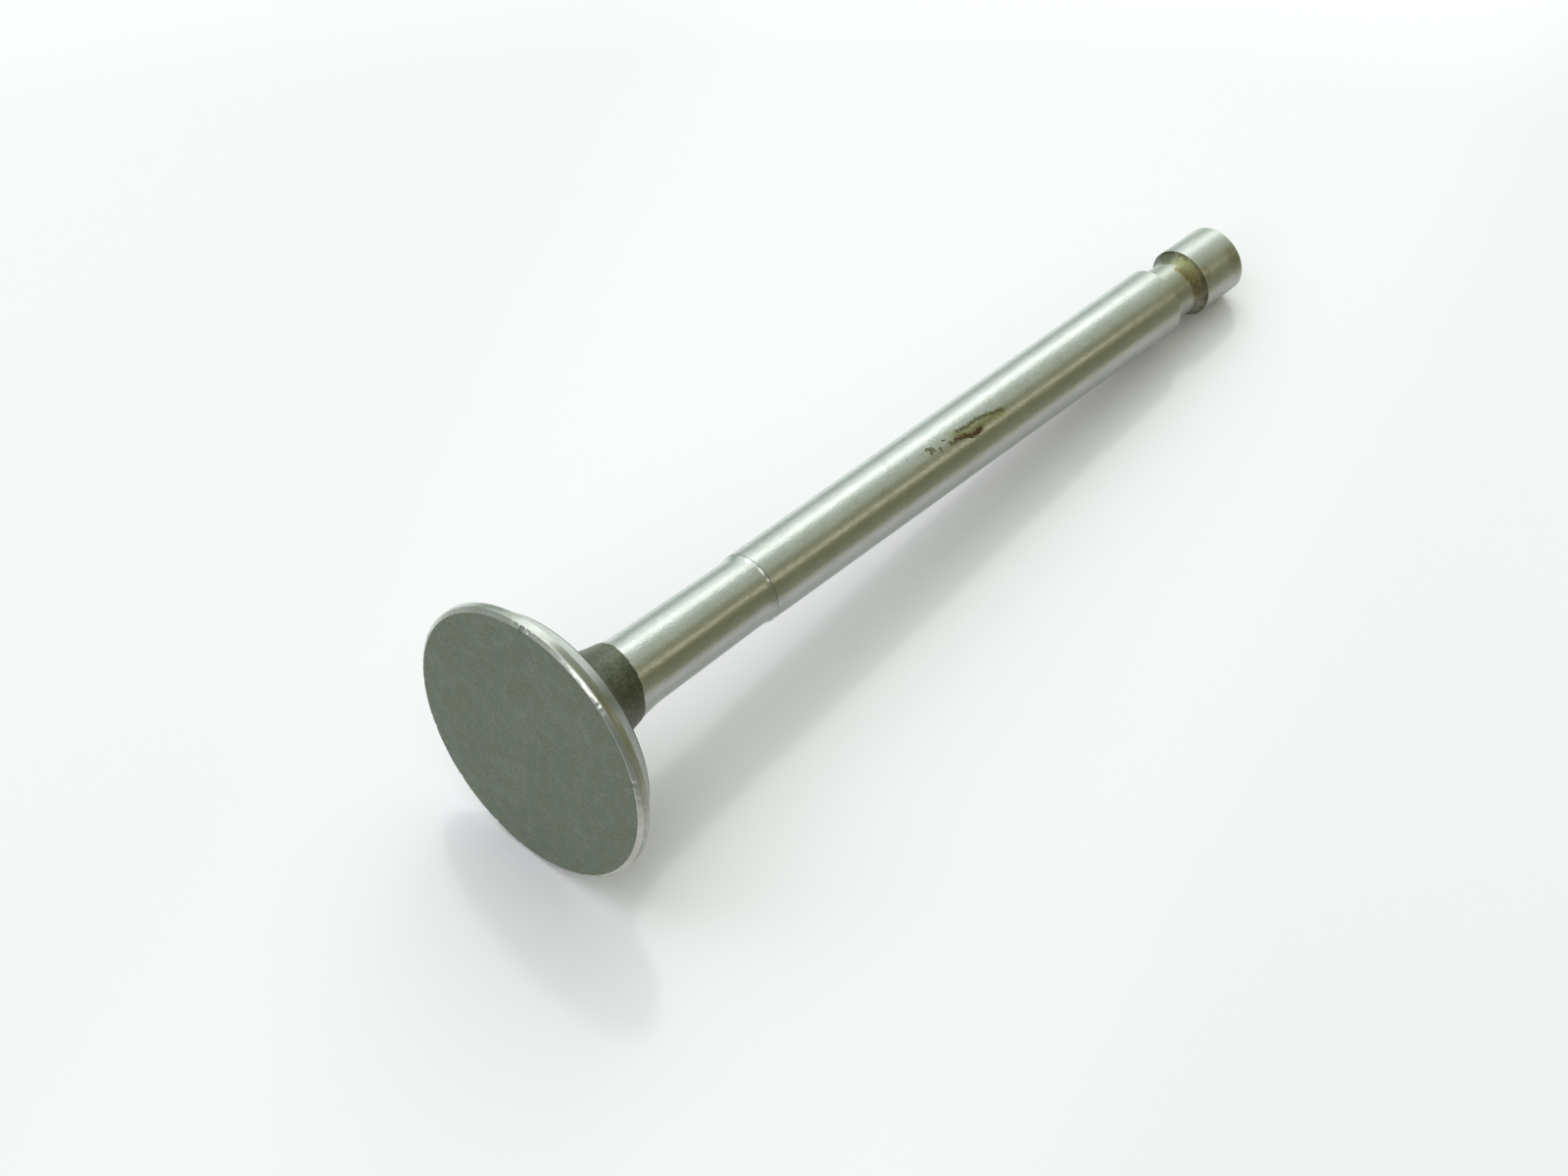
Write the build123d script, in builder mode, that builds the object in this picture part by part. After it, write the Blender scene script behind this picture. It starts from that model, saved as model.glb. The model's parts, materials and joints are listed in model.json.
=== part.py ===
"""Poppet valve of a small overhead-valve engine: one steel forging, ground on its stem, seat and tip.

Sizes are in millimetres and degrees. The valve stands on its head: Z = 0 is the flat combustion face,
the origin is that face's centre, and +Z runs along the stem to the tip.
"""

import os
from math import cos, radians, sin, tan

from build123d import *

# Head: a flat face with a bevelled edge, a short cylindrical margin and the ground seat above it
head_diameter = 30.25
face_bevel = 0.4
margin_height = 0.8
seat_angle = 45.0
seat_width = 3.0

# Back of the head: a low cone, its angle measured from the face, that an arc sweeps up into a flare along
# the stem. A second, larger arc eases the flare into the neck, and a short straight land parts the two arcs.
back_angle = 20.0
underhead_radius = 5.6
flare_angle = 18.0
flare_land = 0.5
flare_radius = 22.0

# Neck: undercut a little below the stem's size, tapering away from the head. Its end sweeps up in an arc, at
# the step's angle to the axis, to a narrow straight land and a sharp edge on the stem.
neck_relief = 0.215
neck_taper = 0.9
neck_height = 30.87
step_angle = 22.0
step_land = 0.05

# Stem: the ground length that runs in the guide
stem_diameter = 7.9
overall_length = 109.8

# Keeper groove: square at the stem, and swept up in an arc, at the ramp's angle to the axis, to a narrow
# straight lip at the tip collar
tip_length = 6.5
groove_width = 5.1
groove_depth = 0.8
groove_ramp = 53.0
groove_lip = 0.05

# Small broken edges
groove_edge = 0.12
tip_chamfer = 0.35

head_radius = head_diameter / 2
stem_radius = stem_diameter / 2
neck_radius = stem_radius - neck_relief
groove_radius = stem_radius - groove_depth

margin_top = face_bevel + margin_height
seat_top_radius = head_radius - seat_width * cos(radians(seat_angle))
seat_top_height = margin_top + seat_width * sin(radians(seat_angle))

# The flare's straight side is as long as its land and the tangents of its two arcs. It leaves the tapered
# neck at the height where its lower end meets the cone of the head's back.
underhead_tangent = underhead_radius * tan(radians(90 - back_angle - flare_angle) / 2)
neck_tangent = flare_radius * tan(radians(flare_angle - neck_taper) / 2)
flare_side = underhead_tangent + flare_land + neck_tangent
flare_rise = flare_side * cos(radians(flare_angle))
flare_spread = flare_side * sin(radians(flare_angle))
back_slope = tan(radians(back_angle))
neck_slope = tan(radians(neck_taper))
back_reach = seat_top_radius - flare_spread - neck_radius - neck_height * neck_slope
flare_height = (flare_rise + seat_top_height + back_reach * back_slope) / (1 - neck_slope * back_slope)
flare_foot_radius = neck_radius + (neck_height - flare_height) * neck_slope
back_corner_radius = flare_foot_radius + flare_spread
back_corner_height = flare_height - flare_rise

# Each sweep's arc takes up its straight side, all but the land or lip at its edge
step_side = neck_relief / sin(radians(step_angle))
step_fillet = (step_side - step_land) / tan(radians(step_angle + neck_taper) / 2)
stem_foot_height = neck_height + neck_relief / tan(radians(step_angle))

groove_top = overall_length - tip_length
groove_bottom = groove_top - groove_width
ramp_side = groove_depth / sin(radians(groove_ramp))
ramp_fillet = (ramp_side - groove_lip) / tan(radians(groove_ramp) / 2)
ramp_foot_height = groove_top - groove_depth / tan(radians(groove_ramp))

# The corners of the half section, from the face's centre round to the tip's centre
section_corners = [
    (0, 0),
    (head_radius - face_bevel, 0),
    (head_radius, face_bevel),
    (head_radius, margin_top),
    (seat_top_radius, seat_top_height),
    (back_corner_radius, back_corner_height),
    (flare_foot_radius, flare_height),
    (neck_radius, neck_height),
    (stem_radius, stem_foot_height),
    (stem_radius, groove_bottom),
    (groove_radius, groove_bottom),
    (groove_radius, ramp_foot_height),
    (stem_radius, groove_top),
    (stem_radius, overall_length),
    (0, overall_length),
]


def corner(section, radius, height):
    """The vertex of the half section that stands at this radius and height."""
    return section.vertices().sort_by_distance((radius, height, 0))[0]


with BuildPart() as valve:
    with BuildSketch(Plane.XZ) as half_section:
        with BuildLine():
            Polyline(section_corners, close=True)
        make_face()
        fillet(corner(half_section, back_corner_radius, back_corner_height), underhead_radius)
        fillet(corner(half_section, flare_foot_radius, flare_height), flare_radius)
        fillet(corner(half_section, neck_radius, neck_height), step_fillet)
        fillet(corner(half_section, groove_radius, ramp_foot_height), ramp_fillet)
        chamfer(corner(half_section, stem_radius, groove_bottom), groove_edge)
        chamfer(corner(half_section, stem_radius, overall_length), tip_chamfer)
    revolve(axis=Axis.Z)

valve.part.label = "valve"

os.makedirs("parts", exist_ok=True)
export_step(valve.part, "parts/valve.step")
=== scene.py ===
# %% [markdown]
# # An engine valve, lying on a white sheet
#
# A poppet valve opens and closes one port of an engine. It is a single steel forging: a flat head, a
# flared neck and a long stem with a groove near its tip. The lathe and the grinder leave some of it
# bright, and the rest keeps the dark skin of the forge. This lesson turns its mesh, gives each zone its
# own finish, and then lights it and aims a camera at it.

# %% Load the imported valve
import json
from math import atan, cos, degrees, hypot, pi, radians, sin, tan

import bmesh
import bpy
from mathutils import Matrix, Vector


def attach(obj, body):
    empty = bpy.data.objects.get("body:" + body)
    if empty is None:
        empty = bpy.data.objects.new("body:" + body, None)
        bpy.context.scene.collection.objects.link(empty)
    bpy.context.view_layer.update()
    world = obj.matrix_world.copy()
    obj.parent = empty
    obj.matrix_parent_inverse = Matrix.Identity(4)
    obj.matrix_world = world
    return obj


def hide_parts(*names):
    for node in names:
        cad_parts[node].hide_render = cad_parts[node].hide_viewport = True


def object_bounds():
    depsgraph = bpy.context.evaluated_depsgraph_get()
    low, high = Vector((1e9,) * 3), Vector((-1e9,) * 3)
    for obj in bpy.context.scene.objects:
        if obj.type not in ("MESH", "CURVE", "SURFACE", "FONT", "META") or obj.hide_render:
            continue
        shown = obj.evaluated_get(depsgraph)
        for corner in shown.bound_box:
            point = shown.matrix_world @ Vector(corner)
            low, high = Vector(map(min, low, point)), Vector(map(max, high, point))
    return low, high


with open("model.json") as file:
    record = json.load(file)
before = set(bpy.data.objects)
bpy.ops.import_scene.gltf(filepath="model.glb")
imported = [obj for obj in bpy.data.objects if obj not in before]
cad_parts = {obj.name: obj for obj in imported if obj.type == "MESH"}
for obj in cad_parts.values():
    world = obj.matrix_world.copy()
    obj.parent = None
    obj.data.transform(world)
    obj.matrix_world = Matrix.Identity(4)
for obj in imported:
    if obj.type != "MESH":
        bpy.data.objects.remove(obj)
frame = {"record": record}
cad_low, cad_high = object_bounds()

print("CAD box in millimetres:", [round(side * 1000, 2) for side in cad_high - cad_low])

# %% [markdown]
# ## Sizes
#
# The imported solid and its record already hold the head, the length and the ground stem, so these are read
# from the frame. The smaller forms of the section are named here, in metres and radians. The valve stands
# on its flat face, with +Z running up the stem.

# %% Read the main sizes and name the small ones
MM = 0.001
mounts = {mount["name"]: mount for mount in frame["record"]["mounts"]}
stem_radius = mounts["stem_guide"]["dims"]["r_mm"] * MM
head_radius = cad_high.x
valve_length = cad_high.z

face_bevel = 0.4 * MM
margin_height = 0.8 * MM
seat_width = 3.0 * MM
seat_angle = radians(45)
back_angle = radians(20)
underhead_radius = 5.6 * MM
flare_angle = radians(18)
flare_land = 0.5 * MM
flare_radius = 22.0 * MM
neck_relief = 0.215 * MM
neck_taper = radians(0.9)
neck_height = 30.87 * MM
step_angle = radians(22)
step_land = 0.05 * MM
tip_length = 6.5 * MM
groove_width = 5.1 * MM
groove_depth = 0.8 * MM
groove_ramp = radians(53)
groove_lip = 0.05 * MM

margin_top = face_bevel + margin_height
seat_top_radius = head_radius - seat_width * cos(seat_angle)
seat_top = margin_top + seat_width * sin(seat_angle)
neck_radius = stem_radius - neck_relief
stem_foot = neck_height + neck_relief / tan(step_angle)
groove_top = valve_length - tip_length
groove_bottom = groove_top - groove_width
groove_radius = stem_radius - groove_depth
ramp_foot = groove_top - groove_depth / tan(groove_ramp)
main_sizes = (head_radius, stem_radius, valve_length)
print("head radius, stem radius, length:", [round(size / MM, 3) for size in main_sizes])

# %% [markdown]
# ## The flare under the head
#
# The back of the head is a low cone. One arc turns it up into a steep flare and a larger arc eases the
# flare into the neck. The two corners that the arcs round off are found from the arcs' own tangents, so
# the flare keeps its shape if the head or the neck changes.

# %% Work out the two corners of the flare
underhead_cut = underhead_radius * tan((pi / 2 - back_angle - flare_angle) / 2)
flare_cut = flare_radius * tan((flare_angle - neck_taper) / 2)
flare_side = underhead_cut + flare_land + flare_cut
flare_rise = flare_side * cos(flare_angle)
flare_spread = flare_side * sin(flare_angle)
back_reach = seat_top_radius - flare_spread - neck_radius - neck_height * tan(neck_taper)
flare_top = (flare_rise + seat_top + back_reach * tan(back_angle)) / (1 - tan(neck_taper) * tan(back_angle))
flare_top_radius = neck_radius + (neck_height - flare_top) * tan(neck_taper)
back_corner = (flare_top_radius + flare_spread, flare_top - flare_rise)
print("flare from", [round(v / MM, 2) for v in back_corner], "to", round(flare_top / MM, 2))

# %% [markdown]
# ## Drawing the half section
#
# A lathe makes this part from a profile, so the mesh starts as one too: a plane merged to a single vertex,
# which is then extruded from corner to corner, from the middle of the face round to the middle of the tip.
# One extra point on the flat face, just inside its edge, keeps the later wear of that edge off the rest of
# it.

# %% Extrude one vertex along the half section
wear_width = 0.5 * MM

face_ring = (head_radius - face_bevel - wear_width, 0)
face_edge = (head_radius - face_bevel, 0)
rim_low = (head_radius, face_bevel)
rim_high = (head_radius, margin_top)
seat_edge = (seat_top_radius, seat_top)
flare_corner = (flare_top_radius, flare_top)
neck_end = (neck_radius, neck_height)
stem_start = (stem_radius, stem_foot)
groove_lower_edge = (stem_radius, groove_bottom)
groove_lower_root = (groove_radius, groove_bottom)
groove_ramp_foot = (groove_radius, ramp_foot)
groove_upper_edge = (stem_radius, groove_top)
tip_edge = (stem_radius, valve_length)

section = [
    (0, 0), face_ring, face_edge, rim_low, rim_high, seat_edge, back_corner, flare_corner, neck_end,
    stem_start, groove_lower_edge, groove_lower_root, groove_ramp_foot, groove_upper_edge, tip_edge,
    (0, valve_length),
]

bpy.ops.object.select_all(action="DESELECT")
bpy.ops.mesh.primitive_plane_add(size=face_bevel, location=(0, 0, 0))
valve = bpy.context.object
valve.name = "poppet_valve"
valve.data.name = "poppet_valve"
bpy.ops.object.mode_set(mode="EDIT")
bpy.ops.mesh.merge(type="CENTER")
for (radius, height), (next_radius, next_height) in zip(section, section[1:]):
    stroke = Vector((next_radius - radius, 0, next_height - height))
    bpy.ops.mesh.extrude_region_move(TRANSFORM_OT_translate={"value": stroke})
print("corners drawn:", len(bmesh.from_edit_mesh(valve.data).verts))

# %% [markdown]
# ## Rounding the corners
#
# Bevelling a corner of the profile rounds it. The flare's two corners get their arcs, the neck and the
# keeper groove get the long sweeps that the tool left at their ends, and every ground edge is broken by a
# few hundredths of a millimetre: no real edge is perfectly sharp, and that narrow break is what catches
# the light.

# %% Bevel the corners of the profile
same_place = 0.001 * MM
edge_break = 0.05 * MM
sharp_break = 0.02 * MM
groove_break = 0.12 * MM
root_break = 0.2 * MM
tip_break = 0.35 * MM
step_cut = neck_relief / sin(step_angle) - step_land
ramp_cut = groove_depth / sin(groove_ramp) - groove_lip


def round_corner(corner, cut, segments):
    """Round the profile's corner, from a cut's length before it to a cut's length after it."""
    place = Vector((corner[0], 0, corner[1]))
    drawing = bmesh.from_edit_mesh(valve.data)
    for vertex in drawing.verts:
        vertex.select_set((vertex.co - place).length < same_place)
    drawing.select_flush_mode()
    bpy.ops.mesh.bevel(offset=cut, offset_type="OFFSET", segments=segments, profile=0.5, affect="VERTICES")


round_corner(back_corner, underhead_cut, segments=18)
round_corner(flare_corner, flare_cut, segments=16)
round_corner(neck_end, step_cut, segments=10)
round_corner(groove_ramp_foot, ramp_cut, segments=14)
round_corner(groove_lower_root, root_break, segments=6)
round_corner(groove_lower_edge, groove_break, segments=5)
round_corner(tip_edge, tip_break, segments=6)
for corner in (face_edge, rim_low, rim_high, seat_edge):
    round_corner(corner, edge_break, segments=3)
for corner in (stem_start, groove_upper_edge):
    round_corner(corner, sharp_break, segments=2)
print("points on the rounded profile:", len(bmesh.from_edit_mesh(valve.data).verts))

# %% [markdown]
# ## Turning it
#
# Spin sweeps the profile once round the stem's axis. The first and last copies and the points on the axis
# lie on each other, so they are merged, and the normals are then made to point outwards.

# %% Spin the profile round the stem
turn_steps = 480

bpy.ops.mesh.select_all(action="SELECT")
bpy.ops.mesh.spin(steps=turn_steps, angle=2 * pi, center=(0, 0, 0), axis=(0, 0, 1))
bpy.ops.mesh.select_all(action="SELECT")
bpy.ops.mesh.remove_doubles(threshold=same_place)
bpy.ops.mesh.normals_make_consistent(inside=False)
turned = bmesh.from_edit_mesh(valve.data)
open_edges = sum(1 for edge in turned.edges if len(edge.link_faces) != 2)
print("turned faces:", len(turned.faces), "open edges:", open_edges,
      "volume in cubic millimetres:", round(turned.calc_volume(signed=True) / MM ** 3))

# %% [markdown]
# ## Where the forging skin stops
#
# The dark skin of the forge covers the back of the head and ends in a crisp ring on the flare, where the
# lathe started to cut. The cut wasn't quite square to the forging, so the ring leans a little. Bisect cuts
# that leaning line into the mesh, and the skin below it is then raised by a few hundredths of a
# millimetre.

# %% Cut the ring and raise the skin
collar_height = 12.1 * MM
collar_lean = radians(7.3)
collar_lean_turn = radians(-101.9)
skin_thickness = 0.06 * MM

collar_normal = Vector((
    -sin(collar_lean) * cos(collar_lean_turn), -sin(collar_lean) * sin(collar_lean_turn), cos(collar_lean)))
bpy.ops.mesh.select_all(action="SELECT")
bpy.ops.mesh.bisect(plane_co=(0, 0, collar_height), plane_no=collar_normal)


def below_collar(place):
    """Whether a place is on the head's side of the leaning ring."""
    return (place - Vector((0, 0, collar_height))).dot(collar_normal) < 0


def in_skin(place):
    """Whether a place is on the forged back of the head or the lower flare."""
    return place.z > seat_top + edge_break / 2 and below_collar(place)


bpy.ops.mesh.select_all(action="DESELECT")
cut = bmesh.from_edit_mesh(valve.data)
skin = [face for face in cut.faces if in_skin(face.calc_center_median())]
for face in skin:
    face.select_set(True)
cut.select_flush_mode()
print("faces with forging skin:", len(skin), "selected:", sum(1 for face in cut.faces if face.select))
bpy.ops.mesh.extrude_region_shrink_fatten(TRANSFORM_OT_shrink_fatten={"value": skin_thickness})

# %% [markdown]
# ## Nicks
#
# The thin edge of the face is the first thing to hit a bench, so it has nicks. Each one is made as it
# happened: the points of the edge at one turn round the head are pushed inwards and up.

# %% Push the nicks into the edge of the face
edge_from = head_radius - face_bevel - edge_break * 2
nick_lift = 0.6

# Turns and half widths in degrees, then depths in millimetres
nicks = [
    (-50.8, 0.9, 0.24), (-47.6, 0.4, 0.1), (-54.4, 0.5, 0.08), (-9.0, 0.5, 0.06), (24.0, 0.8, 0.05),
    (-164.0, 0.8, 0.12), (173.5, 0.6, 0.09), (151.0, 0.9, 0.1), (92.0, 0.7, 0.12), (-118.0, 0.5, 0.08),
]


def nick_edge(turn, half_width, depth):
    """Push the edge in by a depth at one turn, over a half width, and hand back how many points moved."""
    inwards = Vector((-cos(turn), -sin(turn), 0))
    mesh = bmesh.from_edit_mesh(valve.data)
    moved = 0
    for vertex in mesh.verts:
        x, y, z = vertex.co
        on_edge = z < face_bevel / 2 and hypot(x, y) > edge_from
        beside = on_edge and abs(Vector((x, y)).angle(-inwards.xy)) < half_width
        vertex.select_set(beside)
        moved += beside
    mesh.select_flush_mode()
    bpy.ops.transform.translate(value=inwards * depth + Vector((0, 0, depth * nick_lift)))
    return moved


moved = [nick_edge(radians(turn), radians(half_width), depth * MM) for turn, half_width, depth in nicks]
bpy.ops.object.mode_set(mode="OBJECT")
print("points moved in each nick:", moved)

# %% [markdown]
# ## Worn edge
#
# Between the nicks the edge is worn unevenly. A vertex group marks it, and a Displace modifier with a fine
# cloud texture takes away up to a few hundredths of a millimetre there. The modifier is then applied.

# %% Wear the edge of the face
wear_depth = 0.07 * MM
wear_lump = 0.45 * MM
worn_share = 0.6

edge_points = [
    vertex.index for vertex in valve.data.vertices
    if vertex.co.z < face_bevel * worn_share and vertex.co.xy.length > edge_from
]
worn_edge = valve.vertex_groups.new(name="worn_edge")
worn_edge.add(edge_points, 1.0, "REPLACE")
wear_clouds = bpy.data.textures.new("edge_wear", "CLOUDS")
wear_clouds.noise_scale = wear_lump
wear = valve.modifiers.new("edge_wear", "DISPLACE")
wear.texture = wear_clouds
wear.texture_coords = "LOCAL"
wear.vertex_group = worn_edge.name
wear.strength = wear_depth
wear.mid_level = 1.0
bpy.ops.object.modifier_apply(modifier=wear.name)
print("points of the worn edge:", len(edge_points))

# %% [markdown]
# ## Smooth and sharp
#
# Smooth shading makes the turned surfaces round, but it also bends the light near an edge, because each
# point takes the mean direction of the faces round it. Weighted normals let the large faces keep their own
# direction, so that only the narrow breaks between them turn, as they do on ground steel.

# %% Shade the turned surfaces
smooth_below = radians(24)
flat_weight = 100

bpy.ops.object.shade_smooth_by_angle(angle=smooth_below)
flats_first = valve.modifiers.new("flats_first", "WEIGHTED_NORMAL")
flats_first.mode = "FACE_AREA"
flats_first.weight = flat_weight
flats_first.keep_sharp = True
bpy.ops.object.modifier_apply(modifier=flats_first.name)
valve.data.validate()
print("vertices:", len(valve.data.vertices), "faces:", len(valve.data.polygons))

# %% [markdown]
# ## Small helpers for the finishes
#
# Each finish is a tree of shader nodes that reads the valve's own coordinates in metres. These helpers add
# a node, join a value or a socket to it, and name the few patterns that the finishes share.

# %% Define the node helpers
def feed(tree, socket, value):
    """Give a socket a plain value, or join another node's output to it."""
    if isinstance(value, bpy.types.NodeSocket):
        tree.links.new(value, socket)
    else:
        socket.default_value = value


def add(tree, kind, inputs=None, **settings):
    """Add a node with its settings, and feed its inputs by name or number."""
    node = tree.nodes.new(kind)
    for name, value in settings.items():
        setattr(node, name, value)
    for key, value in (inputs or {}).items():
        feed(tree, node.inputs[key], value)
    return node


def maths(tree, operation, *values):
    """One step of arithmetic on numbers or sockets."""
    return add(tree, "ShaderNodeMath", dict(enumerate(values)), operation=operation).outputs[0]


def spread(tree, value, low, high, to_low=0.0, to_high=1.0, curve="SMOOTHSTEP"):
    """Carry a value from one range to another, and hold it at the ends."""
    inputs = {0: value, 1: low, 2: high, 3: to_low, 4: to_high}
    return add(tree, "ShaderNodeMapRange", inputs, interpolation_type=curve).outputs[0]


def grain(tree, where, per_metre, detail=4.0, rough=0.55, stretch=None):
    """A cloudy pattern, with so many lumps to the metre, stretched along the axes if asked."""
    if stretch:
        where = add(tree, "ShaderNodeMapping", {"Vector": where, "Scale": stretch}).outputs[0]
    inputs = {"Vector": where, "Scale": per_metre, "Detail": detail, "Roughness": rough}
    return add(tree, "ShaderNodeTexNoise", inputs).outputs[0]


def tint(tree, amount, first, second):
    """Go from the first colour to the second by an amount from 0 to 1."""
    node = add(tree, "ShaderNodeMix", {0: amount}, data_type="RGBA", clamp_factor=True)
    feed(tree, node.inputs[6], (*first, 1) if isinstance(first, tuple) else first)
    feed(tree, node.inputs[7], (*second, 1) if isinstance(second, tuple) else second)
    return node.outputs[2]


def start_finish(name):
    """A new material, with its node tree, its shader and the valve's own coordinates."""
    material = bpy.data.materials.new(name)
    material.use_nodes = True
    tree = material.node_tree
    shader = tree.nodes["Principled BSDF"]
    where = add(tree, "ShaderNodeTexCoord").outputs["Object"]
    return material, tree, shader, where


def rough_up(tree, shader, height, depth, strength):
    """Turn a pattern into fine relief of a depth in metres."""
    bump = add(tree, "ShaderNodeBump", {"Height": height, "Distance": depth, "Strength": strength})
    feed(tree, shader.inputs["Normal"], bump.outputs[0])


print("helpers ready")

# %% [markdown]
# ## Forged face
#
# The flat face was never machined. Its oxide skin is dark and matt, with soft patches that lean to green
# or to brown, broad areas that are rubbed a little paler, a fine grit and a few pale specks. A plain
# colour would look like paint, so several cloudy patterns of different sizes are laid over each other.

# %% Make the forged face
face_green, face_brown = (0.153, 0.188, 0.142), (0.193, 0.197, 0.147)
face_pale, face_rubbed = (0.214, 0.223, 0.188), (0.25, 0.26, 0.218)
face_grit, face_speck = (0.102, 0.110, 0.082), (0.32, 0.35, 0.30)


def forged_face():
    """Dark matt oxide with soft patches, rubbed areas, grit and pale specks."""
    material, tree, shader, where = start_finish("forged_face")
    clouds = grain(tree, where, per_metre=420, detail=1, rough=0.5)
    patches = grain(tree, where, per_metre=800, detail=2, rough=0.6)
    rubbed = grain(tree, where, per_metre=170, detail=3, rough=0.6)
    grit = grain(tree, where, per_metre=3200, detail=3, rough=0.7)
    specks = grain(tree, where, per_metre=1100, detail=5, rough=0.7, stretch=(1, 0.45, 1))
    colour = tint(tree, spread(tree, clouds, 0.36, 0.64), face_green, face_brown)
    colour = tint(tree, spread(tree, patches, 0.44, 0.64, 0.0, 0.7), colour, face_pale)
    colour = tint(tree, spread(tree, rubbed, 0.45, 0.65, 0.0, 0.3), colour, face_rubbed)
    colour = tint(tree, spread(tree, grit, 0.42, 0.64, 0.0, 0.52), colour, face_grit)
    colour = tint(tree, spread(tree, specks, 0.64, 0.71, 0.0, 0.6), colour, face_speck)
    feed(tree, shader.inputs["Base Color"], colour)
    feed(tree, shader.inputs["Roughness"], spread(tree, clouds, 0.3, 0.7, 0.62, 0.8))
    shader.inputs["Metallic"].default_value = 0.2
    rough_up(tree, shader, grit, depth=0.03 * MM, strength=0.35)
    return material


face_finish = forged_face()
print("nodes in the forged face:", len(face_finish.node_tree.nodes))

# %% [markdown]
# ## Forged back
#
# The back of the head and the lower flare keep a harder, darker scale. It has more gloss than the face, so
# it takes a dull light along its upper side and goes nearly black below. Most of that comes from the
# gloss, and only a little from the colour.

# %% Make the forged back
scale_dark, scale_light, scale_tooth = (0.072, 0.080, 0.054), (0.122, 0.125, 0.092), (0.040, 0.038, 0.025)


def forged_back():
    """Near-black scale with a dull gloss and a fine tooth."""
    material, tree, shader, where = start_finish("forged_back")
    clouds = grain(tree, where, per_metre=420, detail=4, rough=0.6)
    tooth = grain(tree, where, per_metre=2600, detail=3, rough=0.6)
    colour = tint(tree, spread(tree, clouds, 0.35, 0.65), scale_dark, scale_light)
    colour = tint(tree, spread(tree, tooth, 0.45, 0.65, 0.0, 0.6), colour, scale_tooth)
    feed(tree, shader.inputs["Base Color"], colour)
    feed(tree, shader.inputs["Roughness"], spread(tree, clouds, 0.3, 0.7, 0.33, 0.43))
    shader.inputs["Metallic"].default_value = 0.75
    rough_up(tree, shader, tooth, depth=0.03 * MM, strength=0.5)
    return material


back_finish = forged_back()
print("nodes in the forged back:", len(back_finish.node_tree.nodes))

# %% [markdown]
# ## Ground rim
#
# The bevel, the margin and the seat are ground, each by its own pass of the wheel: the bevel nearly
# polished, the margin duller, the seat satin. The margin and the seat have tarnished brown, most of all on
# one side. The three differ only in colour and roughness, so one function makes them all.

# %% Make the three rings of the rim
tarnish_reach = radians(26)


def ground_ring(name, pale, dark, tarnish, tarnish_most, roughest, tarnish_turn=None):
    """Ground steel with fine rings and some tarnish, most of it round one turn if that is given."""
    material, tree, shader, where = start_finish(name)
    rings = grain(tree, where, per_metre=90, detail=3, rough=0.6, stretch=(1, 1, 60))
    patches = grain(tree, where, per_metre=170, detail=4, rough=0.6)
    colour = tint(tree, spread(tree, rings, 0.3, 0.7), dark, pale)
    tarnished = spread(tree, patches, 0.42, 0.66, 0.0, tarnish_most)
    if tarnish_turn is not None:
        axes = add(tree, "ShaderNodeSeparateXYZ", {0: where}).outputs
        turn = maths(tree, "ARCTAN2", axes["Y"], axes["X"])
        away = maths(tree, "ABSOLUTE", maths(tree, "SUBTRACT", turn, tarnish_turn))
        near = spread(tree, away, tarnish_reach * 0.5, tarnish_reach, tarnish_most, 0.0)
        tarnished = maths(tree, "MAXIMUM", tarnished, near)
    feed(tree, shader.inputs["Base Color"], tint(tree, tarnished, colour, tarnish))
    feed(tree, shader.inputs["Roughness"], spread(tree, rings, 0.3, 0.7, roughest * 0.75, roughest))
    shader.inputs["Metallic"].default_value = 1.0
    return material


bevel_finish = ground_ring(
    "bevel_steel", pale=(0.58, 0.57, 0.54), dark=(0.49, 0.48, 0.45), tarnish=(0.37, 0.33, 0.27),
    tarnish_most=0.4, roughest=0.2)
margin_finish = ground_ring(
    "margin_steel", pale=(0.49, 0.51, 0.49), dark=(0.39, 0.40, 0.38), tarnish=(0.215, 0.205, 0.175),
    tarnish_most=0.7, roughest=0.3, tarnish_turn=radians(-17))
seat_finish = ground_ring(
    "seat_steel", pale=(0.37, 0.39, 0.375), dark=(0.31, 0.33, 0.315), tarnish=(0.205, 0.215, 0.20),
    tarnish_most=0.45, roughest=0.4, tarnish_turn=radians(-16))
print("rings made:", [ring.name for ring in (bevel_finish, margin_finish, seat_finish)])

# %% [markdown]
# ## Tools for drawing marks
#
# Something dried on the stem and left a thin brown streak with an olive film above it, and a few dots. A
# mark is easiest to draw on the stem unrolled flat, where a place is a height above the face and a turn
# round the stem. A streak follows a curve through a few chosen places, and a blot is a small ragged
# ellipse.

# %% Define the streak and the blot
blot_core = 0.45


def unrolled(tree, where, lumps_per_metre, ragged):
    """The height above the face and the turn round the stem, both shaken a little to make edges ragged."""
    axes = add(tree, "ShaderNodeSeparateXYZ", {0: where}).outputs
    turn = maths(tree, "ARCTAN2", axes["Y"], axes["X"])
    shake = add(tree, "ShaderNodeTexNoise", {"Vector": where, "Scale": lumps_per_metre, "Detail": 2.0})
    shake = add(tree, "ShaderNodeSeparateXYZ", {0: shake.outputs["Color"]}).outputs
    height = maths(tree, "ADD", axes["Z"], spread(tree, shake["X"], 0.2, 0.8, -ragged, ragged))
    swing = ragged / stem_radius
    turn = maths(tree, "ADD", turn, spread(tree, shake["Y"], 0.2, 0.8, -swing, swing))
    return height, turn


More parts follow.
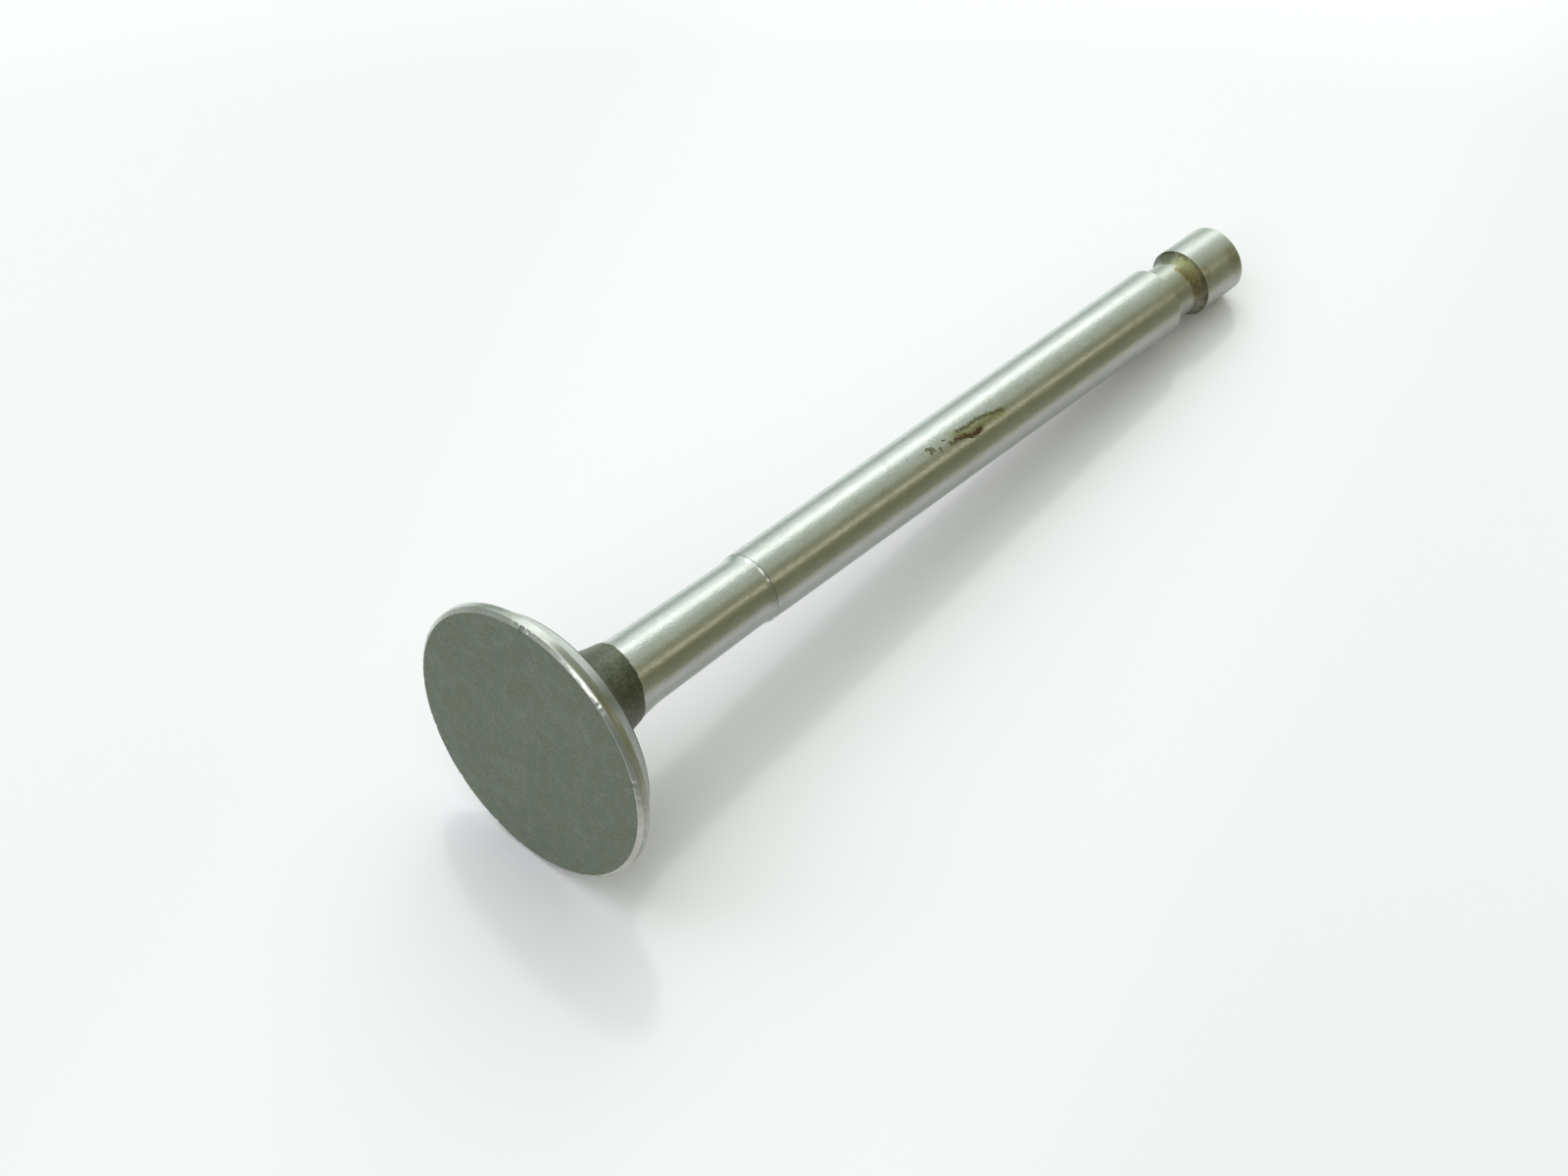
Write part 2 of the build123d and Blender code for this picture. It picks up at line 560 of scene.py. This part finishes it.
def streak(tree, height, turn, route, half_width, core=0.35):
    """How much a place lies on a line, with a solid core, through heights in mm and turns in degrees."""
    heights = [mm * MM for mm, _ in route]
    turns = [radians(turn_degrees) for _, turn_degrees in route]
    span, swing = heights[-1] - heights[0], max(turns) - min(turns)
    line = add(tree, "ShaderNodeFloatCurve")
    points = line.mapping.curves[0].points
    for number, (at_height, at_turn) in enumerate(zip(heights, turns)):
        share, level = (at_height - heights[0]) / span, (at_turn - min(turns)) / swing
        if number in (0, len(route) - 1):
            points[0 if number == 0 else -1].location = (share, level)
        else:
            points.new(share, level)
    line.mapping.update()
    feed(tree, line.inputs["Value"], spread(tree, height, heights[0], heights[-1], curve="LINEAR"))
    middle = spread(tree, line.outputs[0], 0, 1, min(turns), max(turns), curve="LINEAR")
    off_turn = maths(tree, "ABSOLUTE", maths(tree, "SUBTRACT", turn, middle))
    off = maths(tree, "MULTIPLY", off_turn, stem_radius)
    across = spread(tree, off, half_width * core, half_width, 1, 0)
    start = spread(tree, height, heights[0] - half_width, heights[0] + half_width)
    end = spread(tree, height, heights[-1] - half_width, heights[-1] + half_width, 1, 0)
    return maths(tree, "MULTIPLY", across, maths(tree, "MULTIPLY", start, end))


def blot(tree, height, turn, mm, turn_degrees, half_length, half_width):
    """How much a place lies in a small ellipse at a height in millimetres and a turn in degrees."""
    off_height = maths(tree, "DIVIDE", maths(tree, "SUBTRACT", height, mm * MM), half_length)
    off_turn = maths(tree, "SUBTRACT", turn, radians(turn_degrees))
    off_turn = maths(tree, "DIVIDE", off_turn, half_width / stem_radius)
    away = maths(tree, "SQRT", maths(
        tree, "ADD", maths(tree, "POWER", off_height, 2.0), maths(tree, "POWER", off_turn, 2.0)))
    return spread(tree, away, blot_core, 1.0, 1, 0)


def either(tree, *amounts):
    """The strongest of several marks."""
    strongest = amounts[0]
    for amount in amounts[1:]:
        strongest = maths(tree, "MAXIMUM", strongest, amount)
    return strongest


def blots(tree, height, turn, places):
    """Several blots, each with its height, turn, half length and half width."""
    return either(tree, *[
        blot(tree, height, turn, mm, turn_degrees, half_length * MM, half_width * MM)
        for mm, turn_degrees, half_length, half_width in places])


print("streak and blot ready")

# %% [markdown]
# ## Ground steel
#
# The stem was ground between wheels, so its scratches run round it. They are finer than a picture shows,
# and what is left of them is a soft band in every reflection, with slightly wavy edges. Handling has left
# a faint film, and the steel is duller near the tip. The stem and the groove share this steel, so it is a
# function of its own.

# %% Define the ground steel
dull_from, dull_full = 86 * MM, 103 * MM
tip_dullness = 0.1
steel_grey, steel_pale = (0.415, 0.425, 0.415), (0.45, 0.46, 0.45)
handled_steel, tip_steel = (0.36, 0.35, 0.30), (0.37, 0.38, 0.33)


def steel(tree, shader, where):
    """The colour and the roughness of ground steel, a little handled, with its fine waviness."""
    rings = grain(tree, where, per_metre=60, detail=3, rough=0.55, stretch=(1, 1, 40))
    blotches = grain(tree, where, per_metre=300, detail=4, rough=0.6)
    handling = grain(tree, where, per_metre=800, detail=5, rough=0.7)
    waves = grain(tree, where, per_metre=3000, detail=3, rough=0.6)
    height = add(tree, "ShaderNodeSeparateXYZ", {0: where}).outputs["Z"]
    tip_side = spread(tree, height, dull_from, dull_full)
    colour = tint(tree, spread(tree, blotches, 0.3, 0.7), steel_grey, steel_pale)
    colour = tint(tree, spread(tree, handling, 0.5, 0.68, 0.0, 0.3), colour, handled_steel)
    colour = tint(tree, maths(tree, "MULTIPLY", tip_side, 0.3), colour, tip_steel)
    roughness = spread(tree, rings, 0.3, 0.7, 0.195, 0.225)
    roughness = maths(tree, "ADD", roughness, maths(tree, "MULTIPLY", tip_side, tip_dullness))
    rough_up(tree, shader, waves, depth=0.028 * MM, strength=1.0)
    return colour, roughness


print("ground steel ready, duller from", round(dull_from / MM, 1), "mm up")

# %% [markdown]
# ## The step's painted glints
#
# Where the ground stem starts, above the neck, its edge stands out by a fifth of a millimetre. Its glints
# are painted on as bright, rougher patches, and a thin dark line of painted shade runs beside it. Both are
# drawn as marks in the colour, not as shape.

# %% Define the edge of the step
line_width = 0.12 * MM

# Painted glints: heights in millimetres, turns in degrees, then half lengths and half widths in millimetres
glint_patches = [
    (31.2, -50.0, 0.28, 0.5), (31.28, -23.0, 0.17, 0.62), (31.28, -6.0, 0.17, 0.26),
    (31.32, 66.0, 0.08, 0.6), (31.3, 118.0, 0.1, 1.1), (31.32, 172.0, 0.08, 0.5),
    (31.3, -128.0, 0.1, 0.8),
]


def step_edge(tree, where):
    """The edge of the step above the neck: bright patches that paint its glints, and a line of painted
    shade beside it.
    """
    axes = add(tree, "ShaderNodeSeparateXYZ", {0: where}).outputs
    # Bright patches that paint the step's glints
    painted_glint = blots(tree, axes["Z"], maths(tree, "ARCTAN2", axes["Y"], axes["X"]), glint_patches)
    above = maths(tree, "ABSOLUTE", maths(tree, "SUBTRACT", axes["Z"], stem_foot + line_width / 2))
    breaks = grain(tree, where, per_metre=700, detail=2, rough=0.6)
    # A thin dark line of painted shade just above the step's edge
    line = spread(tree, above, line_width / 4, line_width / 2, 1, 0)
    line = maths(tree, "MULTIPLY", line, spread(tree, breaks, 0.4, 0.55, 0.2, 0.8))
    return painted_glint, line


print("bright places on the step:", len(glint_patches))

# %% [markdown]
# ## Places of the dried marks
#
# A route is a list of places along a mark, from the head's end to the tip's end: a height in millimetres
# and a turn in degrees. A few places are enough, because the curve between them is smooth. A dot adds a
# half length and a half width in millimetres.

# %% Chart the dried marks
brown_route = [
    (60.6, -14.0), (61.7, -13.2), (62.4, -11.3), (63.1, -6.2), (63.9, -4.5), (64.6, -5.8), (65.0, -8.0),
]
olive_route = [
    (60.6, -24.0), (61.7, -20.5), (62.4, -15.5), (63.5, -12.8), (64.7, -12.2), (65.9, -12.0), (67.1, -11.0),
    (68.2, -9.0), (68.9, -7.5),
]
rim_route = [
    (61.6, -24.5), (63.2, -22.0), (64.7, -22.8), (65.6, -20.8), (67.0, -16.8), (68.0, -13.2), (68.8, -10.2),
]
dried_dots = [
    (54.5, -33.0, 0.2, 0.17), (57.25, -28.5, 0.5, 0.24), (57.6, -24.0, 0.6, 0.38),
    (57.35, -19.5, 0.34, 0.26), (57.95, -19.5, 0.3, 0.22), (58.72, -17.4, 0.28, 0.23),
    (58.55, -12.4, 0.22, 0.17), (59.75, -24.0, 0.3, 0.2), (60.1, -18.3, 0.28, 0.22),
    (60.25, -13.8, 0.3, 0.24),
]
brown_ends = [(64.4, -6.2, 0.75, 0.48)]
black_dots = [(28.0, 30.8, 0.2, 0.16), (93.2, 21.2, 0.22, 0.15)]
haze_places = [(108.6, 12.0, 1.3, 2.6), (103.9, 0.0, 0.8, 1.1)]
crumbled_from, solid_from = 62.0 * MM, 63.6 * MM
print("dried dots:", len(dried_dots), "black dots:", len(black_dots), "hazes:", len(haze_places))

# %% [markdown]
# ## Ground stem
#
# The dried marks lie over the steel. Most of them have crumbled, so a fine flaky pattern breaks them up,
# and only the upper end of the brown streak is whole. They are dull and aren't metal, so they turn down
# the metal and turn up the roughness as well as changing the colour.

# %% Lay the marks over the steel
brown_half, film_half, rim_half = 0.44 * MM, 0.8 * MM, 0.3 * MM
brown_oil, dried_oil, olive_film = (0.075, 0.042, 0.010), (0.11, 0.105, 0.04), (0.31, 0.31, 0.14)
black_pit, tip_haze = (0.09, 0.09, 0.06), (0.27, 0.245, 0.17)
# The colour of the step's painted glints, then of the painted shade line beside the edge
painted_glint_colour, painted_edge_shade = (0.9, 0.9, 0.87), (0.08, 0.08, 0.06)


def ground_stem():
    """Ground steel with the step's painted glints and shade line, the dried streak, its olive film and the
    dots.
    """
    material, tree, shader, where = start_finish("ground_stem")
    colour, roughness = steel(tree, shader, where)
    height, turn = unrolled(tree, where, lumps_per_metre=4200, ragged=0.2 * MM)
    flakes = spread(tree, grain(tree, where, per_metre=5200, detail=2), 0.36, 0.46, 0.5, 1.0)
    film = streak(tree, height, turn, olive_route, film_half, core=0.1)
    film_rim = maths(tree, "MULTIPLY", streak(tree, height, turn, rim_route, rim_half), flakes)
    brown = streak(tree, height, turn, brown_route, brown_half)
    brown = either(tree, brown, blots(tree, height, turn, brown_ends))
    whole = either(tree, flakes, spread(tree, height, crumbled_from, solid_from))
    brown = maths(tree, "MULTIPLY", brown, whole)
    dots = maths(tree, "MULTIPLY", blots(tree, height, turn, dried_dots), flakes)
    dried = either(tree, film_rim, dots)
    pits = blots(tree, height, turn, black_dots)
    haze = blots(tree, height, turn, haze_places)
    painted_glint, line = step_edge(tree, where)
    # Painted highlight: bright patches on the step's edge where it glints
    colour = tint(tree, painted_glint, colour, painted_glint_colour)
    # Painted shade: the thin dark line beside the step's edge
    colour = tint(tree, line, colour, painted_edge_shade)
    colour = tint(tree, maths(tree, "MULTIPLY", haze, 0.5), colour, tip_haze)
    colour = tint(tree, maths(tree, "MULTIPLY", film, 0.7), colour, olive_film)
    colour = tint(tree, dried, colour, dried_oil)
    colour = tint(tree, maths(tree, "MULTIPLY", pits, 0.75), colour, black_pit)
    colour = tint(tree, brown, colour, brown_oil)
    dull = either(tree, brown, pits, maths(tree, "MULTIPLY", dried, 0.8))
    rougher = maths(tree, "ADD", maths(tree, "MULTIPLY", dull, 0.2), maths(tree, "MULTIPLY", painted_glint, 0.4))
    feed(tree, shader.inputs["Base Color"], colour)
    feed(tree, shader.inputs["Roughness"], maths(tree, "ADD", roughness, rougher))
    feed(tree, shader.inputs["Metallic"], spread(tree, dull, 0, 1, 1, 0.55, curve="LINEAR"))
    return material


stem_finish = ground_stem()
print("nodes in the ground stem:", len(stem_finish.node_tree.nodes))

# %% [markdown]
# ## Stained groove
#
# Oil has burnt on to the swept end of the keeper groove, where the keepers hold it: yellow at the top,
# then brown, then a dark brown round the side, with a few paler flecks. The colour follows the turn round
# the stem. The stain fades out on the flat root, and an amber line is left where the oil pooled at its
# foot.

# %% Make the stained groove
stain_foot = 101.3 * MM
stain_full = 102.0 * MM
top_edge_width = 0.25 * MM
pool_width = 0.3 * MM
pool_turn, pool_reach = radians(-18), radians(34)
pale_fleck, amber_pool, top_edge_dark = (0.37, 0.34, 0.15), (0.19, 0.13, 0.035), (0.10, 0.09, 0.05)
stain_turns = [
    (-110, (0.09, 0.095, 0.065)), (-72, (0.11, 0.115, 0.075)), (-56, (0.20, 0.21, 0.12)),
    (-45, (0.25, 0.26, 0.135)), (-30, (0.22, 0.22, 0.095)), (-13, (0.22, 0.175, 0.07)),
    (6, (0.15, 0.127, 0.06)), (27, (0.165, 0.134, 0.084)), (50, (0.17, 0.175, 0.115)),
    (90, (0.2, 0.21, 0.16)),
]


def stained_groove():
    """Ground steel with burnt oil on the swept end of the groove."""
    material, tree, shader, where = start_finish("stained_groove")
    colour, roughness = steel(tree, shader, where)
    height, turn = unrolled(tree, where, lumps_per_metre=1400, ragged=0.35 * MM)
    ramp = add(tree, "ShaderNodeValToRGB", {0: spread(tree, turn, -pi, pi, curve="LINEAR")})
    stops = ramp.color_ramp.elements
    for number, (turn_degrees, stain) in enumerate(stain_turns):
        stop = stops[number] if number < len(stops) else stops.new(1.0)
        stop.position = (turn_degrees + 180) / 360
        stop.color = (*stain, 1)
    burnt = spread(tree, height, stain_foot, stain_full, 0.22, 0.92)
    # Darker along the top edge of the swept end
    top_edge_darkening = spread(tree, height, groove_top - top_edge_width, groove_top - top_edge_width / 2, 0, 0.7)
    flecks = spread(tree, grain(tree, where, per_metre=2400, detail=3), 0.52, 0.64, 0.0, 0.4)
    above_foot = maths(tree, "SUBTRACT", height, stain_foot + pool_width)
    pool = spread(tree, maths(tree, "ABSOLUTE", above_foot), pool_width / 2, pool_width, 0.65, 0)
    off_turn = maths(tree, "ABSOLUTE", maths(tree, "SUBTRACT", turn, pool_turn))
    pool = maths(tree, "MULTIPLY", pool, spread(tree, off_turn, pool_reach / 2, pool_reach, 1, 0))
    colour = tint(tree, burnt, colour, ramp.outputs[0])
    colour = tint(tree, maths(tree, "MULTIPLY", burnt, flecks), colour, pale_fleck)
    colour = tint(tree, pool, colour, amber_pool)
    roughness = maths(tree, "ADD", roughness, maths(tree, "MULTIPLY", burnt, 0.12))
    feed(tree, shader.inputs["Base Color"], tint(tree, top_edge_darkening, colour, top_edge_dark))
    feed(tree, shader.inputs["Roughness"], roughness)
    shader.inputs["Metallic"].default_value = 1.0
    return material


groove_finish = stained_groove()
print("nodes in the stained groove:", len(groove_finish.node_tree.nodes))

# %% [markdown]
# ## A finish for each zone
#
# The valve is one mesh, so each of its faces is told which finish it takes. A face's height, its distance
# from the axis and the way it faces are enough to tell the zones apart, and no zone has to be picked by
# hand.

# %% Lay the finishes on their zones
FACING = 0.3
finishes = [
    face_finish, bevel_finish, margin_finish, seat_finish, back_finish, stem_finish, groove_finish,
]
for finish in finishes:
    valve.data.materials.append(finish)
FACE, BEVEL, MARGIN, SEAT, BACK, STEM, GROOVE = range(len(finishes))


def zone(face):
    """Which finish a face of the mesh takes, from its place and the way it faces."""
    if in_skin(face.center):
        return BACK
    if face.center.z < seat_top + edge_break:
        if face.normal.z > -FACING:
            return SEAT if face.normal.z > FACING else MARGIN
        return FACE if hypot(face.center.x, face.center.y) < face_edge[0] - edge_break else BEVEL
    return GROOVE if groove_bottom < face.center.z < groove_top else STEM


zone_counts = [0] * len(finishes)
for face in valve.data.polygons:
    face.material_index = zone(face)
    zone_counts[face.material_index] += 1
print("faces in each zone:", dict(zip([finish.name for finish in finishes], zone_counts)))

# %% [markdown]
# ## Joining it to the frame
#
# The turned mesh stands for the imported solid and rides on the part's only body.

# %% Ride and replace
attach(valve, "root")
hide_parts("valve")
print(valve.name, "rides on root and stands for the packed solid")

# %% [markdown]
# ## The sheet it lies on
#
# The valve is modelled standing on its face, and photographed lying down, held up by the rim of its head
# and the edge of its tip. So the sheet is a plane that touches the valve at those two places, and the
# lamps and the camera are placed by three directions: along the stem's line on the sheet, to its side, and
# up from it.

# %% Find the sheet and its three directions
rest_turn = radians(-45)
tip_rest = valve_length - tip_break
dip = atan((head_radius - stem_radius) / (tip_rest - margin_top))

outward = Vector((cos(rest_turn), sin(rest_turn), 0))
stem_line = Vector((0, 0, 1))
up = outward * cos(dip) - stem_line * sin(dip)
along = outward * sin(dip) + stem_line * cos(dip)
side = up.cross(along)
face_height = head_radius * cos(dip) + margin_top * sin(dip)


def on_stage(along_by, side_by, above_sheet):
    """A place given along and beside the stem's line from the face's centre, and above the sheet."""
    return along * along_by + side * side_by + up * (above_sheet - face_height)


stage_axes = Matrix((along, side, up)).transposed()
print("dip in degrees:", round(degrees(dip), 2), "face's centre up:", round(face_height / MM, 2), "mm")

# %% [markdown]
# ## The sheet's finish
#
# It is white with a satin coat: looked at from above it is nearly matt, and at a low angle it mirrors what
# stands round it. Layer Weight measures that angle. Seen from behind it is clear, so that it never hides
# the valve.

# %% Lay the sheet
sheet_size = 4.0
sheet_colour = (0.91, 0.865, 0.93)
sheet_roughness = 0.14
shine_from, shine_full = 0.36, 0.72
shine_least, shine_most = 0.05, 0.92


def sheet_finish():
    """A white satin sheet, clear when the camera is behind it."""
    material = bpy.data.materials.new("white_sheet")
    material.use_nodes = True
    tree = material.node_tree
    tree.nodes.clear()
    matt = add(tree, "ShaderNodeBsdfDiffuse", {"Color": (*sheet_colour, 1)}).outputs[0]
    coat = {"Color": (1, 1, 1, 1), "Roughness": sheet_roughness}
    gloss = add(tree, "ShaderNodeBsdfGlossy", coat).outputs[0]
    slant = add(tree, "ShaderNodeLayerWeight", {"Blend": 0.5}).outputs["Facing"]
    shine = spread(tree, slant, shine_from, shine_full, shine_least, shine_most, curve="LINEAR")
    satin = add(tree, "ShaderNodeMixShader", {0: shine, 1: matt, 2: gloss}).outputs[0]
    clear = add(tree, "ShaderNodeBsdfTransparent").outputs[0]
    behind = add(tree, "ShaderNodeNewGeometry").outputs["Backfacing"]
    seen = add(tree, "ShaderNodeLightPath").outputs["Is Camera Ray"]
    seen_from_behind = maths(tree, "MULTIPLY", behind, seen)
    surface = add(tree, "ShaderNodeMixShader", {0: seen_from_behind, 1: satin, 2: clear}).outputs[0]
    add(tree, "ShaderNodeOutputMaterial", {"Surface": surface})
    return material


bpy.ops.object.select_all(action="DESELECT")
bpy.ops.mesh.primitive_plane_add(
    size=sheet_size, location=on_stage(0, 0, 0), rotation=stage_axes.to_euler())
sheet = bpy.context.object
sheet.name = "white_sheet"
sheet.data.materials.append(sheet_finish())
print("sheet laid at", [round(v / MM, 2) for v in sheet.location])

# %% [markdown]
# ## Light
#
# A long soft window stands beyond the far side of the stem, a little askew to it. A narrow warm strip
# hangs on the near side, and a small lamp before the head picks out the polished bevel. A soft square
# lamp, high up, keeps the shadow before the face from going too dark. Each lamp is set by its radiance,
# the brightness that the steel mirrors, and its power follows from its size.

# %% Hang the lamps
def hang_lamp(name, aim, direction, long_way, distance, size, radiance, colour):
    """An area lamp of a radiance, hung in a direction from its aim, with its length along long_way."""
    direction = direction.normalized()
    across = direction.cross(long_way).normalized()
    axes = Matrix((across.cross(direction), across, direction)).transposed()
    bpy.ops.object.select_all(action="DESELECT")
    bpy.ops.object.light_add(type="AREA", location=aim + direction * distance, rotation=axes.to_euler())
    lamp = bpy.context.object
    lamp.name = name
    lamp.data.shape = "RECTANGLE"
    lamp.data.size, lamp.data.size_y = size
    lamp.data.color = colour
    lamp.data.energy = radiance * pi * lamp.data.size * lamp.data.size_y
    lamp.visible_camera = False
    return lamp


def round_stem(angle):
    """The direction at an angle round the stem, from straight out of the sheet towards the window."""
    return outward * cos(angle) + side * sin(angle)


window_angle = radians(20)
window_skew = radians(18)
window_shift = 0.5
strip_angle = radians(-52.5)
strip_shift = 0.078
daylight = (0.97, 1.0, 0.975)
warm_light = (1.0, 0.95, 0.76)

window_from = round_stem(window_angle)
window_way = stem_line * cos(window_skew) + window_from.cross(stem_line) * sin(window_skew)
stem_middle = stem_line * (valve_length / 2)
bevel_lamp_from = along * -0.8 + side * -0.135 + up * 0.55
bevel_lamp_way = side * 0.43 + up * 0.18
ground_lamp_from = along * -0.38 + side * 0.53 + up * 0.76
lamps = [
    hang_lamp("window", stem_middle + window_way * window_shift, window_from, window_way,
              distance=0.8, size=(2.0, 0.3), radiance=0.84, colour=daylight),
    hang_lamp("warm_strip", stem_middle + stem_line * strip_shift, round_stem(strip_angle), stem_line,
              distance=0.12, size=(0.15, 0.011), radiance=0.95, colour=warm_light),
    hang_lamp("bevel_lamp", on_stage(0, 0, face_height), bevel_lamp_from, bevel_lamp_way,
              distance=1.0, size=(0.45, 0.12), radiance=2.2, colour=daylight),
    hang_lamp("ground_lamp", on_stage(0, 0, 0), ground_lamp_from, along,
              distance=1.0, size=(0.5, 0.5), radiance=1.2, colour=daylight),
]
print("lamp powers in watts:", {lamp.name: round(lamp.data.energy, 2) for lamp in lamps})

# %% [markdown]
# ## The room
#
# Polished steel has no look of its own: it shows its surroundings, so the room matters as much as the
# lamps. Looking along the stem, the far side is bright, the top is greyer, and the near side is dim and
# olive. Behind the head it is the other way round: the top is the lightest part, and both sides are dim.

# %% Paint the room
room_scale = 2.0
room_level = 1.02

# Angles round the stem in degrees, and the light's colour there
ahead_stops = [
    (-90, (0.28, 0.28, 0.16)),
    (-76, (0.26, 0.27, 0.15)),
    (-64, (0.28, 0.28, 0.15)),
    (-56, (0.46, 0.45, 0.29)),
    (-42, (0.44, 0.43, 0.28)),
    (-34, (0.36, 0.37, 0.24)),
    (-18, (0.66, 0.72, 0.56)),
    (0, (0.74, 0.82, 0.68)),
    (16, (1.00, 1.10, 0.97)),
    (30, (1.33, 1.42, 1.34)),
    (45, (1.70, 1.82, 1.73)),
    (56, (1.52, 1.66, 1.56)),
    (66, (1.08, 1.22, 1.12)),
    (78, (0.72, 0.84, 0.77)),
    (90, (0.38, 0.45, 0.41)),
]
behind_stops = [
    (-90, (0.26, 0.29, 0.26)),
    (-60, (0.29, 0.33, 0.30)),
    (-42, (0.48, 0.53, 0.51)),
    (-28, (0.83, 0.92, 0.89)),
    (8, (0.93, 1.03, 1.00)),
    (32, (0.58, 0.64, 0.62)),
    (90, (0.44, 0.50, 0.48)),
]
behind_from, ahead_from = -0.3, 0.1


def wall(tree, angle, stops):
    """The colours of one half of the room, by the angle round the stem."""
    ramp = add(tree, "ShaderNodeValToRGB", {0: spread(tree, angle, -pi / 2, pi / 2, curve="LINEAR")})
    elements = ramp.color_ramp.elements
    for number, (turn, colour) in enumerate(stops):
        element = elements[number] if number < len(elements) else elements.new(1.0)
        element.position = (turn + 90) / 180
        element.color = (*[channel / room_scale for channel in colour], 1)
    return ramp.outputs[0]


def paint_room():
    """A room whose colour changes with the angle round the stem, from straight up towards the window."""
    world = bpy.data.worlds.new("room")
    bpy.context.scene.world = world
    world.use_nodes = True
    tree = world.node_tree
    backdrop = tree.nodes["Background"]
    looking = add(tree, "ShaderNodeTexCoord").outputs["Generated"]
    towards_up, towards_side, towards_tip = [
        add(tree, "ShaderNodeVectorMath", {0: looking, 1: way}, operation="DOT_PRODUCT").outputs["Value"]
        for way in (outward, side, stem_line)]
    angle = maths(tree, "ARCTAN2", towards_side, towards_up)
    ahead = spread(tree, towards_tip, behind_from, ahead_from)
    colour = tint(tree, ahead, wall(tree, angle, behind_stops), wall(tree, angle, ahead_stops))
    feed(tree, backdrop.inputs["Color"], colour)
    backdrop.inputs["Strength"].default_value = room_scale * room_level
    return world


paint_room()
print("room painted with", len(ahead_stops), "stops ahead and", len(behind_stops), "behind")

# %% [markdown]
# ## Camera
#
# The camera looks down on the sheet from the head's end, with the stem running away to the upper right.
# Its place is worked out from the point on the sheet that it aims at, its heading, its dip and its range.

# %% Place the camera
view_heading = radians(42.58)
view_dip = radians(48.596)
view_range = 368.98 * MM
aim_along = 41.47 * MM
aim_side = 4.59 * MM
lens_length = 79.83

forward = (along * cos(view_heading) + side * sin(view_heading)) * cos(view_dip) - up * sin(view_dip)
camera_right = forward.cross(up).normalized()
camera_up = camera_right.cross(forward)
camera_axes = Matrix((camera_right, camera_up, -forward)).transposed()
bpy.ops.object.camera_add(
    location=on_stage(aim_along, aim_side, 0) - forward * view_range, rotation=camera_axes.to_euler())
camera = bpy.context.object
camera.name = "camera"
camera.data.lens = lens_length
bpy.context.scene.camera = camera
bpy.context.scene.view_settings.view_transform = "Standard"
print("camera at", [round(v / MM, 2) for v in camera.location])
